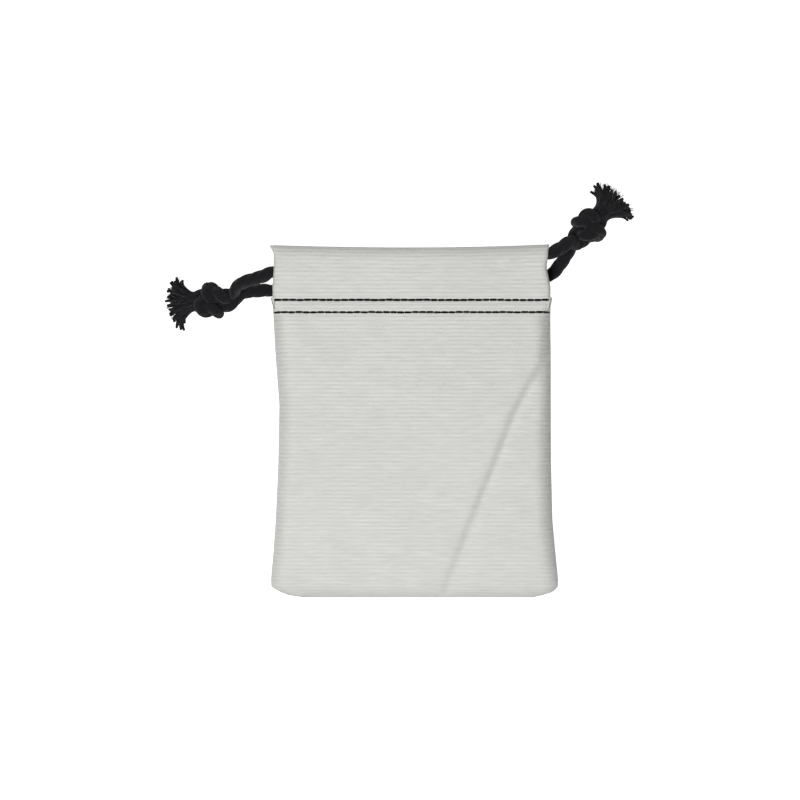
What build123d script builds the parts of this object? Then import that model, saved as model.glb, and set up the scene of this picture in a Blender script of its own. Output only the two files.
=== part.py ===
"""Drawstring treat pouch, lying on its back.

Two cloth panels are sewn together down both sides and along the bottom. The top of each
panel is turned down into a casing, and two cords run through both casings: each cord goes
in at one side of the mouth, round the far side and out again beside itself, and its two
ends are tied in one knot with a frayed tuft.

Millimetres. +X is to the right, +Y towards the mouth and +Z up out of the front panel.
The origin is the middle of the back face, on the surface that the pouch lies on.
"""

from build123d import *
import math
import os

# ---- Cloth ----
cloth_thickness = 0.7
pouch_length = 127.6  # bottom seam to the folded edge of the mouth
bottom_width = 86.0  # the straight part of the bottom seam
corner_width = 104.4  # across the turned corners, the widest place
foot_width = 102.2
calf_width = 100.2
waist_width = 98.6  # the narrowest place
casing_width = 100.2
waist_shift = 0.2  # the sides are not quite even about the middle
casing_shift = -1.3
corner_rise = 3.8  # heights of those widths above the bottom seam
foot_rise = 17.0
calf_rise = 34.0
waist_rise = 70.0
toe_height = 6.0  # the pouch is this thick at its bottom seam
swell_length = 60.0  # and reaches its full thickness this far up
shoulder_radius = 4.0
heel_radius = 2.0
least_side = 0.4  # upright cloth left between the two rounded edges at the toe

# ---- Seams between the panels ----
seam_rest = 0.05  # the allowances lie this far above the rounded edge
panel_gap = 0.3  # the front panel lifts off the back one, so they stay apart
allowance_width = 6.0
allowance_inset = 1.5  # seam line in from the side wall

# ---- Casings ----
casing_depth = 19.4  # folded edge of the mouth to the bottom of the casing
channel_play = 0.4  # height of the channel over the cord's own
mouth_gap = 4.6
flange_depth = 6.9  # the turned edge goes on this far below the casing
slack = 0.1  # between a cord and what it lies against

# ---- Stitching ----
thread_diameter = 0.5
stitch_pitch = 2.6
stitch_length = 2.1
thread_clearance = 0.05
upper_row_drop = 0.7  # rows below the bottom of the casing
lower_row_drop = 5.1
row_end_inset = 1.0
seam_pitch = 3.0
seam_stitch_length = 2.4

# ---- Cords ----
cord_diameter = 4.0
lane_play = 1.2  # between the two cords, where they run side by side
lane_spare = 1.8  # cloth left free between the cords and the mouth
bight_inset = 2.2  # outside of a cord's turn, in from the edge of the cloth
tail_start_inset = 9.0  # tails begin this far inside the edge of the cloth
first_run = 4.4  # and go on straight for this long
cut_gap = 0.3  # between lengths of one cord that move apart

# ---- Knots and tufts: along the tail, across it, and up ----
knot_length = 13.8
knot_width = 11.4
knot_rounding = 3.6
knot_floor_gap = 0.3
tuft_length = 9.3
tuft_neck = 7.0
tuft_spread = 15.5
tuft_height = 7.2
tuft_droop = 1.4

# The right cord runs lane_step nearer the mouth than the left one, and the front run of
# each cord front_lane_lift nearer than its back run.
channel_height = cord_diameter + channel_play
lane_step = cord_diameter + lane_play
front_lane_lift = casing_depth - 2 * cloth_thickness - cord_diameter - lane_step - lane_spare
seam_height = heel_radius + 2 * cloth_thickness + panel_gap / 2 + seam_rest
half_length = pouch_length / 2
mouth_y = half_length
slit_y = mouth_y - casing_depth
pouch_height = 4 * cloth_thickness + 2 * channel_height + mouth_gap
cord_radius = cord_diameter / 2
casing_left = casing_shift - casing_width / 2
casing_right = casing_shift + casing_width / 2
facing_level = pouch_height - 2 * cloth_thickness - channel_height
front_lane_z = pouch_height - cloth_thickness - channel_height / 2
back_lane_z = cloth_thickness + channel_height / 2
lane_base_y = slit_y + cloth_thickness + slack + cord_radius
bight_radius = math.hypot(front_lane_lift, front_lane_z - back_lane_z) / 2
bight_depth = bight_inset + cord_radius + bight_radius
facing_left = casing_left + bight_depth
facing_right = casing_right - bight_depth
seam_top = seam_height - panel_gap / 2
slit_rise = pouch_length - casing_depth

# Places where the sides of the pouch change direction: rise, middle and width.
stations = [
    (0.0, 0.0, bottom_width),
    (corner_rise, 0.0, corner_width),
    (foot_rise, 0.0, foot_width),
    (calf_rise, 0.0, calf_width),
    (waist_rise, waist_shift, waist_width),
    (slit_rise, casing_shift, casing_width),
]

# Tail routes, from inside the casing to the middle of the knot.
left_start = casing_left + tail_start_inset
right_start = casing_right - tail_start_inset
right_base_y = lane_base_y + lane_step
left_front_route = [
    (left_start, lane_base_y + front_lane_lift, front_lane_z),
    (left_start - first_run, lane_base_y + front_lane_lift, front_lane_z),
    (-53.6, 53.2, 12.7),
    (-59.0, 50.9, 11.2),
    (-63.8, 48.4, 9.4),
    (-68.0, 46.6, 8.0),
]
left_back_route = [
    (left_start, lane_base_y, back_lane_z),
    (left_start - first_run, lane_base_y, back_lane_z),
    (-53.6, 47.4, 2.7),
    (-59.0, 46.9, 2.8),
    (-63.8, 45.8, 3.2),
    (-68.2, 44.2, 4.0),
]
right_front_route = [
    (right_start, right_base_y + front_lane_lift, front_lane_z),
    (right_start + first_run, right_base_y + front_lane_lift, front_lane_z),
    (49.6, 60.9, 13.0),
    (53.8, 63.9, 11.8),
    (57.4, 66.8, 9.8),
    (60.4, 68.6, 8.4),
]
right_back_route = [
    (right_start, right_base_y, back_lane_z),
    (right_start + first_run, right_base_y, back_lane_z),
    (48.2, 53.2, 2.8),
    (51.2, 55.8, 2.9),
    (53.8, 59.4, 3.1),
    (56.2, 63.0, 3.6),
    (59.2, 66.0, 4.2),
]

left_knot_centre = (-73.1, 43.9)
left_tail_heading = 180.0
right_knot_centre = (63.2, 69.6)
right_tail_heading = 44.0


def slab(x_low, x_high, y_low, y_high, z_low, z_high):
    """A box between two corners."""
    middle = ((x_low + x_high) / 2, (y_low + y_high) / 2, (z_low + z_high) / 2)
    return Pos(*middle) * Box(x_high - x_low, y_high - y_low, z_high - z_low)


def thickness_at(rise):
    """How thick the pouch lies: a quarter ellipse from the toe, then level."""
    share = min(rise / swell_length, 1.0)
    return toe_height + (pouch_height - toe_height) * math.sqrt(1 - (1 - share) ** 2)


def cross_section(rise, middle, width, inset):
    """The pouch's outline across its width, with the floor side flat."""
    height = thickness_at(rise)
    shoulder = min(shoulder_radius, height - heel_radius - least_side) - inset
    outline = Rectangle(width - 2 * inset, height - 2 * inset, align=(Align.CENTER, Align.MIN))
    outline = fillet(outline.vertices().group_by(Axis.Y)[-1], shoulder)
    outline = fillet(outline.vertices().group_by(Axis.Y)[0], heel_radius - inset)
    across = Plane(
        origin=(middle, rise - half_length, inset),
        x_dir=(1, 0, 0),
        z_dir=(0, -1, 0),
    )
    return across * outline


def sewn_shell():
    """Both panels as one hollow shell, open where the casing starts."""
    outside = loft([cross_section(*station, 0.0) for station in stations], ruled=True)
    first_rise, first_middle, first_width = stations[0]
    last_rise, last_middle, last_width = stations[-1]
    hollow = [(first_rise + cloth_thickness, first_middle, first_width)]
    hollow += stations[1:]
    hollow += [(last_rise + cloth_thickness, last_middle, last_width)]
    inside = loft([cross_section(*station, cloth_thickness) for station in hollow], ruled=True)
    return outside - inside


def turn_over(shape):
    """The same shape on the other face of the pouch."""
    return mirror(shape, about=Plane.XY.offset(pouch_height / 2))


def casing_skin():
    """The front panel from the slit to the mouth, with the start of its turned edge."""
    sheet = slab(
        casing_left, casing_right, slit_y, mouth_y, pouch_height - cloth_thickness, pouch_height
    )
    fold = slab(
        casing_left, casing_right, mouth_y - cloth_thickness, mouth_y, facing_level, pouch_height
    )
    return sheet + fold


def hem_facing():
    """The turned edge inside the front casing, and its flange under the stitch rows."""
    across = (facing_left, facing_right)
    facing_top = facing_level + cloth_thickness
    flange_top = pouch_height - cloth_thickness
    facing = slab(*across, slit_y, mouth_y - cloth_thickness, facing_level, facing_top)
    step = slab(*across, slit_y, slit_y + cloth_thickness, facing_level, flange_top)
    flange = slab(
        *across, slit_y - flange_depth, slit_y, flange_top - cloth_thickness, flange_top
    )
    return facing + step + flange


def stitch(length):
    """One stitch of thread with round ends, lying along X."""
    straight = length - thread_diameter
    thread = Cylinder(thread_diameter / 2, straight, rotation=(0, 90, 0))
    for end in (-straight / 2, straight / 2):
        thread += Pos(end, 0, 0) * Sphere(thread_diameter / 2)
    return thread


def row_span():
    """Left and right ends of the stitch rows, on the level part of the cloth."""
    inset = shoulder_radius + row_end_inset
    return casing_left + inset, casing_right - inset


def stitch_row(drop):
    """A row of top stitching on the front, level with the cloth."""
    left, right = row_span()
    count = int((right - left) / stitch_pitch)
    middle = (left + right) / 2
    level = pouch_height - thread_diameter / 2
    places = [middle + (index - (count - 1) / 2) * stitch_pitch for index in range(count)]
    one = stitch(stitch_length)
    return [Pos(place, slit_y - drop, level) * one for place in places]


def stitch_groove(drop):
    """The dent that a row of top stitching pulls into the front."""
    left, right = row_span()
    half_width = thread_diameter / 2 + thread_clearance
    depth = thread_diameter + thread_clearance
    line = slit_y - drop
    return slab(
        left, right, line - half_width, line + half_width, pouch_height - depth, pouch_height
    )


def panels():
    """The front and back panels, parted at the seam and dented by their stitch rows."""
    shell = sewn_shell()
    reach = 2 * pouch_length
    above = slab(-reach, reach, -reach, reach, seam_height + panel_gap / 2, reach)
    below = slab(-reach, reach, -reach, reach, -reach, seam_top)
    front = (shell & above) + casing_skin()
    back = (shell & below) + turn_over(casing_skin())
    for drop in (upper_row_drop, lower_row_drop):
        front -= stitch_groove(drop)
        back -= turn_over(stitch_groove(drop))
    return front, back


def side_x(rise, side, inset):
    """Where a side wall lies at a height, moved in by inset. side is -1 left, 1 right."""
    for (low, low_middle, low_width), (high, high_middle, high_width) in zip(
        stations, stations[1:]
    ):
        if low <= rise <= high:
            share = (rise - low) / (high - low)
            middle = low_middle + share * (high_middle - low_middle)
            width = low_width + share * (high_width - low_width)
            return middle + side * (width / 2 - inset)
    raise ValueError(f"no side wall at {rise}")


def plan_prism(inset):
    """The pouch's plan moved in by inset, as thick as two seam allowances."""
    rises = [inset] + [station[0] for station in stations[1:]]
    corners = []
    for side in (-1, 1):
        edge = [(stations[0][1] + side * (stations[0][2] / 2 - inset), rises[0] - half_length)]
        edge += [(side_x(rise, side, inset), rise - half_length) for rise in rises[1:]]
        corners += edge if side < 0 else reversed(edge)
    plan = make_face(Polyline(*corners, close=True))
    return Pos(0, 0, seam_top - 2 * cloth_thickness) * extrude(plan, 2 * cloth_thickness)


def seam_allowances():
    """The turned-in edges of both panels, inside the seams: left, right and bottom."""
    outer = plan_prism(cloth_thickness)
    clear = plan_prism(cloth_thickness + allowance_width)
    frame = outer - clear
    reach = 2 * pouch_length
    corner_y = corner_rise + allowance_width - half_length
    left = frame & slab(-reach, 0, corner_y, reach, -reach, reach)
    right = frame & slab(0, reach, corner_y, reach, -reach, reach)
    bottom = frame & slab(-reach, reach, -reach, corner_y, -reach, reach)
    return left, right, bottom


def side_seam_stitches(side):
    """Stitches along one side seam, lying on its allowance."""
    first = corner_rise + allowance_width + seam_pitch
    count = int((slit_rise - first) / seam_pitch)
    level = seam_top + thread_diameter / 2 + thread_clearance
    upright = Rot(0, 0, 90) * stitch(seam_stitch_length)
    stitches = []
    for index in range(count):
        rise = first + index * seam_pitch
        line = side_x(rise, side, cloth_thickness + allowance_inset)
        stitches.append(Pos(line, rise - half_length, level) * upright)
    return stitches


def bottom_seam_stitches():
    """Stitches along the bottom seam, lying on its allowance."""
    count = int(bottom_width / seam_pitch)
    level = seam_top + thread_diameter / 2 + thread_clearance
    line = cloth_thickness + allowance_inset - half_length
    places = [(index - (count - 1) / 2) * seam_pitch for index in range(count)]
    one = stitch(seam_stitch_length)
    return [Pos(place, line, level) * one for place in places]


def cord_along(line):
    """A cord of the usual thickness along a line."""
    start = Plane(origin=line @ 0, z_dir=line % 0)
    return sweep(start * Circle(cord_radius), path=line)


def corner_radii(route):
    """The largest smooth arc at each inner point: 0.45 of its shorter run, over tan(turn / 2)."""
    points = [Vector(*point) for point in route]
    radii = []
    for before, here, after in zip(points, points[1:], points[2:]):
        turn = math.radians((here - before).get_angle(after - here))
        shorter = min((here - before).length, (after - here).length)
        radii.append(0.45 * shorter / math.tan(turn / 2))
    return radii


def tail(name, route):
    """One free length of cord from the casing to the knot."""
    radii = corner_radii(route)
    line = FilletPolyline(*route, radius=radii)
    cord = cord_along(line)
    section_volume = math.pi * cord_radius**2 * line.length
    print(name, "length", round(line.length, 2), "radii", [round(radius, 1) for radius in radii])
    print(name, "volume over section x length", round(cord.volume / section_volume, 4))
    return cord


def straight_run(x_low, x_high, lane_y, lane_z):
    """The length of cord inside one casing."""
    return cord_along(Line((x_low, lane_y, lane_z), (x_high, lane_y, lane_z)))


def bight(turn_x, side, back_y):
    """The half circle where a cord turns from the front casing into the back one."""
    front_end = Vector(turn_x, back_y + front_lane_lift, front_lane_z)
    back_end = Vector(turn_x, back_y, back_lane_z)
    crown = (front_end + back_end) * 0.5 + Vector(side * bight_radius, 0, 0)
    return cord_along(ThreePointArc(front_end, crown, back_end))


def knot_frame(centre, heading, height):
    """A frame at a knot whose X runs out along the tail."""
    return Pos(*centre, height) * Rot(0, 0, heading)


def knot(centre, heading):
    """The outside of the tied ends: a rounded barrel along the tail."""
    barrel = Cylinder(knot_width / 2, knot_length, rotation=(0, 90, 0))
    barrel = fillet(barrel.edges().filter_by(GeomType.CIRCLE), knot_rounding)
    return knot_frame(centre, heading, knot_width / 2 + knot_floor_gap) * barrel


def tuft(centre, heading):
    """The outside of the frayed ends: from the knot's neck to a low fan."""
    neck_height = knot_width / 2 + knot_floor_gap
    neck_plane = Plane(origin=(knot_length / 2, 0, 0), x_dir=(0, 1, 0), z_dir=(1, 0, 0))
    fan_place = (knot_length / 2 + tuft_length, 0, -tuft_droop)
    fan_plane = Plane(origin=fan_place, x_dir=(0, 1, 0), z_dir=(1, 0, 0))
    neck = neck_plane * Ellipse(tuft_neck / 2, tuft_neck / 2.2)
    fan = fan_plane * Ellipse(tuft_spread / 2, tuft_height / 2)
    return knot_frame(centre, heading, neck_height) * loft([neck, fan])


def drawcord(name, side, back_y, routes, knot_centre, heading):
    """One cord as the lengths that it is parted into where they bend or move apart."""
    front_y = back_y + front_lane_lift
    start, turn = (left_start, facing_right) if side < 0 else (right_start, facing_left)
    inward = -side * cut_gap
    run_span = sorted((start + inward, turn - inward))
    front_route, back_route = routes
    return {
        f"{name}_front_run": straight_run(*run_span, front_y, front_lane_z),
        f"{name}_back_run": straight_run(*run_span, back_y, back_lane_z),
        f"{name}_bight": bight(turn, -side, back_y),
        f"{name}_front_tail": tail(f"{name}_front_tail", front_route),
        f"{name}_back_tail": tail(f"{name}_back_tail", back_route),
        f"{name}_knot": knot(knot_centre, heading),
        f"{name}_tuft": tuft(knot_centre, heading),
    }


def all_nodes():
    """Every node by name."""
    front, back = panels()
    left_allowance, right_allowance, bottom_allowance = seam_allowances()
    nodes = {
        "front_panel": front,
        "back_panel": back,
        "front_hem_facing": hem_facing(),
        "back_hem_facing": turn_over(hem_facing()),
        "left_seam_allowance": left_allowance,
        "right_seam_allowance": right_allowance,
        "bottom_seam_allowance": bottom_allowance,
        "left_seam_stitches": Compound(side_seam_stitches(-1)),
        "right_seam_stitches": Compound(side_seam_stitches(1)),
        "bottom_seam_stitches": Compound(bottom_seam_stitches()),
    }
    for row, drop in (("upper", upper_row_drop), ("lower", lower_row_drop)):
        stitches = stitch_row(drop)
        nodes[f"front_{row}_stitch_row"] = Compound(stitches)
        nodes[f"back_{row}_stitch_row"] = Compound([turn_over(one) for one in stitches])
    left_routes = (left_front_route, left_back_route)
    right_routes = (right_front_route, right_back_route)
    nodes |= drawcord(
        "left_cord", -1, lane_base_y, left_routes, left_knot_centre, left_tail_heading
    )
    nodes |= drawcord(
        "right_cord", 1, right_base_y, right_routes, right_knot_centre, right_tail_heading
    )
    return nodes


os.makedirs("parts", exist_ok=True)
for node_name, solid in all_nodes().items():
    export_step(solid, f"parts/{node_name}.step")
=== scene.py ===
"""Drawstring treat pouch: cloth, stitching and cords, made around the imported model.

Metres, in the model's own frame: +X to the right, +Y towards the mouth, +Z out of the front.
The file is laid out as an add-on and is run as a script.
"""
import math
import random

import bmesh
import bpy
import numpy as np
from bpy.props import (
    EnumProperty,
    FloatProperty,
    FloatVectorProperty,
    IntProperty,
    PointerProperty,
)
from mathutils import Matrix, Vector, noise


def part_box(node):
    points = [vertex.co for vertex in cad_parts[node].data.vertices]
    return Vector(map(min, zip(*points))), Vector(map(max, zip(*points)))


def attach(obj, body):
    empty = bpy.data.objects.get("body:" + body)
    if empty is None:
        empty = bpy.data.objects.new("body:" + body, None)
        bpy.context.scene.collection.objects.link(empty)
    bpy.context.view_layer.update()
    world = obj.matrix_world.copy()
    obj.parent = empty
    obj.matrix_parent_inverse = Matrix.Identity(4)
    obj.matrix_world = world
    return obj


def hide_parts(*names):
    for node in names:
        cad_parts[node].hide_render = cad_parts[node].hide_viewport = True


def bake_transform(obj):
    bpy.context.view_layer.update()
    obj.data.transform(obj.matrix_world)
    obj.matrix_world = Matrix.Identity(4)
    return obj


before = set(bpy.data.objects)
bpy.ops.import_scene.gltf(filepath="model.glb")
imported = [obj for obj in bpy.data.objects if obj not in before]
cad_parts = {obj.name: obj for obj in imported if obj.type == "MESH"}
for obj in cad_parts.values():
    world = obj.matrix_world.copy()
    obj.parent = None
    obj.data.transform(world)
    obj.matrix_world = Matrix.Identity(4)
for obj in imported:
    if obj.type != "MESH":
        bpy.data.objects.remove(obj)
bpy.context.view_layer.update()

bl_info = {
    "name": "Treat Pouch",
    "version": (1, 0, 0),
    "blender": (4, 5, 0),
    "location": "3D View > Sidebar > Treat Pouch",
    "description": "Makes the cloth, stitching and cords of a drawstring treat pouch",
    "category": "Add Mesh",
}

MM = 0.001
SIDES = ("left", "right")

# ---- Places that come from the model ----
FRONT_LOW, FRONT_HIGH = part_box("front_panel")
FRONT_FACING_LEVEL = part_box("front_hem_facing")[0].z  # the mouth's edges turn back to here
BACK_FACING_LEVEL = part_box("back_hem_facing")[1].z


def row_line(name):
    """How far up the pouch a row of stitching runs."""
    low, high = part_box(name)
    return (low.y + high.y) / 2


UPPER_ROW = row_line("front_upper_stitch_row")
LOWER_ROW = row_line("front_lower_stitch_row")
TOP_LEVEL = FRONT_HIGH.z
SEAM_LEVEL = FRONT_LOW.z
BACK_SEAM_LEVEL = SEAM_LEVEL - 0.3 * MM  # the back cloth's edge lies under the front cloth's
SLIT_Y = UPPER_ROW + 0.7 * MM  # the side slits run from here to the mouth
FOOT_Y = FRONT_LOW.y
MOUTH_Y = FRONT_HIGH.y

# ---- The plan of the pouch: how far up, left edge, right edge ----
OUTLINE = [
    (FOOT_Y, -40.0 * MM, 43.0 * MM),
    (FOOT_Y + 0.7 * MM, -45.4 * MM, 46.4 * MM),
    (FOOT_Y + 2.0 * MM, -48.8 * MM, 50.3 * MM),
    (FOOT_Y + 3.8 * MM, -51.9 * MM, 52.1 * MM),
    (FOOT_Y + 7.0 * MM, -52.0 * MM, 52.1 * MM),
    (FOOT_Y + 17.0 * MM, -51.1 * MM, 51.1 * MM),
    (FOOT_Y + 28.0 * MM, -50.3 * MM, 50.1 * MM),
    (FOOT_Y + 48.0 * MM, -49.4 * MM, 49.6 * MM),
    (FOOT_Y + 70.0 * MM, -49.0 * MM, 49.5 * MM),
    (FOOT_Y + 88.0 * MM, -50.4 * MM, 49.5 * MM),
    (FOOT_Y + 103.0 * MM, -51.2 * MM, 49.3 * MM),
    (SLIT_Y, -50.9 * MM, 48.8 * MM),
    (SLIT_Y + 4.2 * MM, -51.0 * MM, 48.8 * MM),
    (SLIT_Y + 11.0 * MM, -50.5 * MM, 47.4 * MM),
    (MOUTH_Y - 3.0 * MM, -50.6 * MM, 48.0 * MM),
    (MOUTH_Y, -51.9 * MM, 48.4 * MM),
]

# ---- How the cloth lies ----
TOE_HEIGHT = 6.0 * MM  # the front's height just above the bottom seam
SWELL_LENGTH = 60.0 * MM  # it swells to its full height over this length
OPENING_LENGTH = 7.0 * MM  # below the slit the side walls open up over this length
BACK_OPENING_LENGTH = 5.0 * MM
EDGE_LENGTH = 8.0 * MM  # and the front's rounded edges shrink over this one
CASING_DROOP = 0.9 * MM  # the casing's ends hang down this far
MOUTH_DIP = 1.15 * MM  # the mouth's edge dips this far in its middle
LEFT_DIP = 0.3 * MM  # and this far at its left end
MOUTH_MIDDLE = -1.0 * MM
MOUTH_HALF = 50.0 * MM
FOLD_REACH = 5.0 * MM  # the mouth's edge rounds over in this length
INNER_FOLD_REACH = 0.75 * FOLD_REACH
FOLD_FULLNESS = 1.4  # above 1 the mouth's edge starts to round over sooner
FRONT_FOLD_LEVEL = 13.2 * MM  # the height of the mouth's edge, front and back
BACK_FOLD_LEVEL = 3.0 * MM
FOLD_STEPS = 14
WALL_STEPS = 9
OPEN_COLUMN = 4  # columns before this one belong to the side wall, which ends at the slit
FINE_CELL = 0.34 * MM  # the spacing of the mesh's rows near the stitching
FRONT_WAVES = ((26 * MM, 0.45 * MM, 3.1), (9 * MM, 0.14 * MM, 7.7))  # size, height, seed
BACK_WAVES = (21 * MM, 0.09 * MM, 5.3)
BACK_REST = 0.09 * MM  # the back cloth lies about this far off the floor
FACING_WAVES = (14 * MM, 0.12 * MM, 9.4)
FACING_ROWS = 34
FACING_CELL = 1.2 * MM
FACING_INSET = 0.5 * MM  # the facings end this far in from the casing's ends
STITCH_PITCH = 2.6 * MM
STITCH_SEED = 5
STITCH_INSET = 0.6 * MM  # a row of stitches starts and ends this far in
STITCH_RADII = {UPPER_ROW: 0.43 * MM, LOWER_ROW: 0.40 * MM}
STITCH_PULL = (0.42 * MM, 0.75 * MM)  # depth and half width of the groove that stitches pull
ROW_PULL = (0.12 * MM, 2.4 * MM)  # and of the shallow valley that a row lies in
LANES = (54.2 * MM, 59.4 * MM)  # the front lengths of the two cords lie here
LANE_WIDTHS = (2.6 * MM, 2.2 * MM)
LANE_HEIGHT = 0.22 * MM
CASING_SINK = 0.16 * MM  # the cloth between the stitching and the mouth lies this much lower

# ---- Cord routes from inside the casing to the knot, in millimetres, close to the model's ----
ROUTES = {
    "left_cord_front_tail": [
        (-41.8, 54.2, 13.3), (-46.8, 54.2, 13.3), (-51.4, 54.0, 13.1),
        (-54.4, 52.3, 12.4), (-58.4, 51.2, 11.0), (-63.4, 49.8, 9.2),
    ],
    "left_cord_back_tail": [
        (-41.8, 47.2, 2.9), (-46.8, 47.2, 2.9), (-53.6, 47.7, 2.8),
        (-58.4, 47.3, 3.0), (-63.0, 46.9, 3.6),
    ],
    "right_cord_front_tail": [
        (39.2, 59.4, 13.3), (44.2, 59.4, 13.3), (49.6, 60.7, 13.0),
        (53.6, 63.2, 11.8), (56.8, 65.6, 9.8),
    ],
    "right_cord_back_tail": [
        (39.2, 52.4, 2.9), (44.2, 52.4, 2.9), (48.4, 52.2, 2.8),
        (51.4, 54.8, 2.9), (54.6, 59.4, 3.1), (57.0, 63.4, 3.6),
    ],
}
KNOT_FLATNESS = 0.88  # a resting knot is this much lower than a round one
KNOT_NARROWNESS = 0.64  # a tight knot is this much narrower than a loosely drawn one
KNOT_SHORTNESS = {"left": 0.90, "right": 0.77}  # and this much shorter
KNOT_REST = 0.45 * MM  # its cords' yarns hold it this far off the floor
KNOT_REACH = 8.6 * MM  # from its middle to where its strands go in and come out
HEADINGS = {"left": math.radians(184), "right": math.radians(48)}
KNOT_CENTRES = {"left": (-73.0, 43.9, 6.0), "right": (63.2, 70.2, 6.0)}
KNOT_STRIDE = 3  # a tail follows every third point of its strand of the knot

# ---- How a knot is drawn tight; pulls and pushes are shares of the strands' contact width ----
STRAND_POINTS = 70
STRAND_ENDS = 12  # this many points at each end of a strand lie outside the knot
TIGHTENING_ROUNDS = 270
LENGTH_KEPT = 0.998  # of the strands' length, each round
END_PULL = 0.075
END_CENTRING = 0.9  # the ends' distance from the X axis that is left after each round
SMOOTHING = 0.15
SETTLING_STEPS = 6  # of spacing the points and parting the strands, in each round
NEAR_ALONG = 1.5  # points of one strand that are this close along it don't part
PUSH_SHARE = 0.3  # of the way apart, at each step
LARGEST_PUSH = 0.1

# ---- The twisted cord ----
START_TURNS = {"front": 1.3, "back": 0.2}  # how far the plies are turned where a tail starts
PLY_POINTS = 8
GROOVE = 0.15  # the depth of the groove between two plies, as a share of the cord's radius
PLY_ROUNDNESS = 0.65  # below 1 the grooves are narrower than the plies
RUN_POINTS = 12
TURN_POINTS = 25  # an odd number, so that the turn has a middle point
TURN_LAP = 0.3 * MM  # the turn starts this far past the ends of the runs

# ---- The frayed tufts ----
TUFT_SEEDS = {"left": 11, "right": 29}
TUFT_NECK = 7.4 * MM  # from the knot's middle to where its yarns spread
NECK_HALF_WIDTH = 2.9 * MM
NECK_HALF_HEIGHT = 2.1 * MM
YARN_SIZE = (0.74 * MM, 8.2 * MM)  # radius and length
WISP_SIZE = (0.09 * MM, 8.9 * MM)
YARN_SHARES = (-0.22, 0.0, 0.2, 0.45, 0.72, 1.0)  # where a yarn's points lie along it
YARN_CLEARANCE = 0.35 * MM  # a yarn stays this far off the floor

# ---- The stage ----
CAMERA_PLACE = (-5.2 * MM, 7.8 * MM)
LAMPS = (  # name, place, size, share of the key light's power
    ("key_light", (-0.28, -0.22, 1.18), 0.45, 1.0),
    ("fill_light", (0.6, -0.3, 1.1), 0.9, 0.12),
)


# ======================================================================
# Settings
# ======================================================================
def length_setting(name, description, default):
    """A length that can be set."""
    return FloatProperty(
        name=name, description=description, default=default, unit="LENGTH", precision=5
    )


def colour_setting(name, description, default):
    """A colour that can be set."""
    return FloatVectorProperty(
        name=name, description=description, default=default, subtype="COLOR", min=0.0, max=1.0
    )


class ClothSettings(bpy.types.PropertyGroup):
    """Sizes and colours of the canvas and its thread."""

    thickness: length_setting("Thickness", "Thickness of the canvas", 0.7 * MM)
    front_roll: length_setting(
        "Front roll", "How far in from its edge the front cloth rounds over", 6.5 * MM
    )
    back_roll: length_setting(
        "Back roll", "How far in from its edge the back cloth rounds up", 2.6 * MM
    )
    toe_roll: length_setting(
        "Toe roll", "How far up from the bottom seam the front cloth rounds over", 4.5 * MM
    )
    cell: length_setting("Cell", "Spacing of the cloth's mesh", 0.95 * MM)
    rib_pitch: length_setting("Rib pitch", "Spacing of the weft ribs", 1.45 * MM)
    yarn_pitch: length_setting("Yarn pitch", "Spacing of the warp yarns", 0.62 * MM)
    colour: colour_setting("Colour", "Colour of the canvas", (0.665, 0.67, 0.64))
    thread_colour: colour_setting(
        "Thread colour", "Colour of the top stitching", (0.006, 0.006, 0.007)
    )
    seam_thread_colour: colour_setting(
        "Seam thread colour", "Colour of the thread inside the seams", (0.62, 0.62, 0.6)
    )


class CordSettings(bpy.types.PropertyGroup):
    """Sizes and colours of the drawcords."""

    diameter: length_setting("Diameter", "Diameter of the slack cord", 5.0 * MM)
    cased_diameter: length_setting(
        "Cased diameter", "Diameter of the cord inside the casings", 3.8 * MM
    )
    tied_diameter: length_setting(
        "Tied diameter", "Diameter of the cord where the knot squeezes it", 4.2 * MM
    )
    lay_length: length_setting("Lay length", "Length of one turn of the plies", 13.0 * MM)
    plies: IntProperty(name="Plies", description="Plies twisted together", default=3, min=2, max=6)
    yarns: IntProperty(
        name="Yarns", description="Frayed yarns in each tuft", default=80, min=8, max=200,
    )
    colour: colour_setting("Colour", "Colour of the cord", (0.0105, 0.0100, 0.0122))


class StageSettings(bpy.types.PropertyGroup):
    """The floor, the light and the camera."""

    camera_height: length_setting("Camera height", "Height of the camera over the floor", 1.092)
    lens: FloatProperty(
        name="Lens", description="Focal length", default=135.0, min=10.0, max=400.0,
    )
    sky: FloatProperty(
        name="Sky", description="Strength of the even light", default=0.18, min=0.0,
    )
    key_power: FloatProperty(
        name="Key power", description="Power of the soft lamp overhead", default=12.4, min=0.0,
        subtype="POWER",
    )


class PouchSettings(bpy.types.PropertyGroup):
    """Everything that can be set on the pouch."""

    cloth: PointerProperty(type=ClothSettings)
    cord: PointerProperty(type=CordSettings)
    stage: PointerProperty(type=StageSettings)
    side: EnumProperty(
        name="Side", description="Side of the pouch that the next cord pieces are made on",
        items=[("left", "Left", "The left side"), ("right", "Right", "The right side")],
    )


# ======================================================================
# Shader maths
# ======================================================================
class Wire:
    """A node's output, which Python expressions can work on."""

    def __init__(self, recipe, socket):
        self.recipe = recipe
        self.socket = socket

    def math(self, operation, first, second=0.0):
        return self.recipe.add(
            "ShaderNodeMath", {"operation": operation}, {0: first, 1: second}
        )

    def __add__(self, other):
        return self.math("ADD", self, other)

    def __radd__(self, other):
        return self.math("ADD", other, self)

    def __sub__(self, other):
        return self.math("SUBTRACT", self, other)

    def __rsub__(self, other):
        return self.math("SUBTRACT", other, self)

    def __mul__(self, other):
        return self.math("MULTIPLY", self, other)

    def __rmul__(self, other):
        return self.math("MULTIPLY", other, self)

    def __truediv__(self, other):
        return self.math("DIVIDE", self, other)

    def sine(self):
        return self.math("SINE", self)

    def whole(self):
        return self.math("FLOOR", self)

    def part(self):
        return self.math("FRACT", self)


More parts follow.
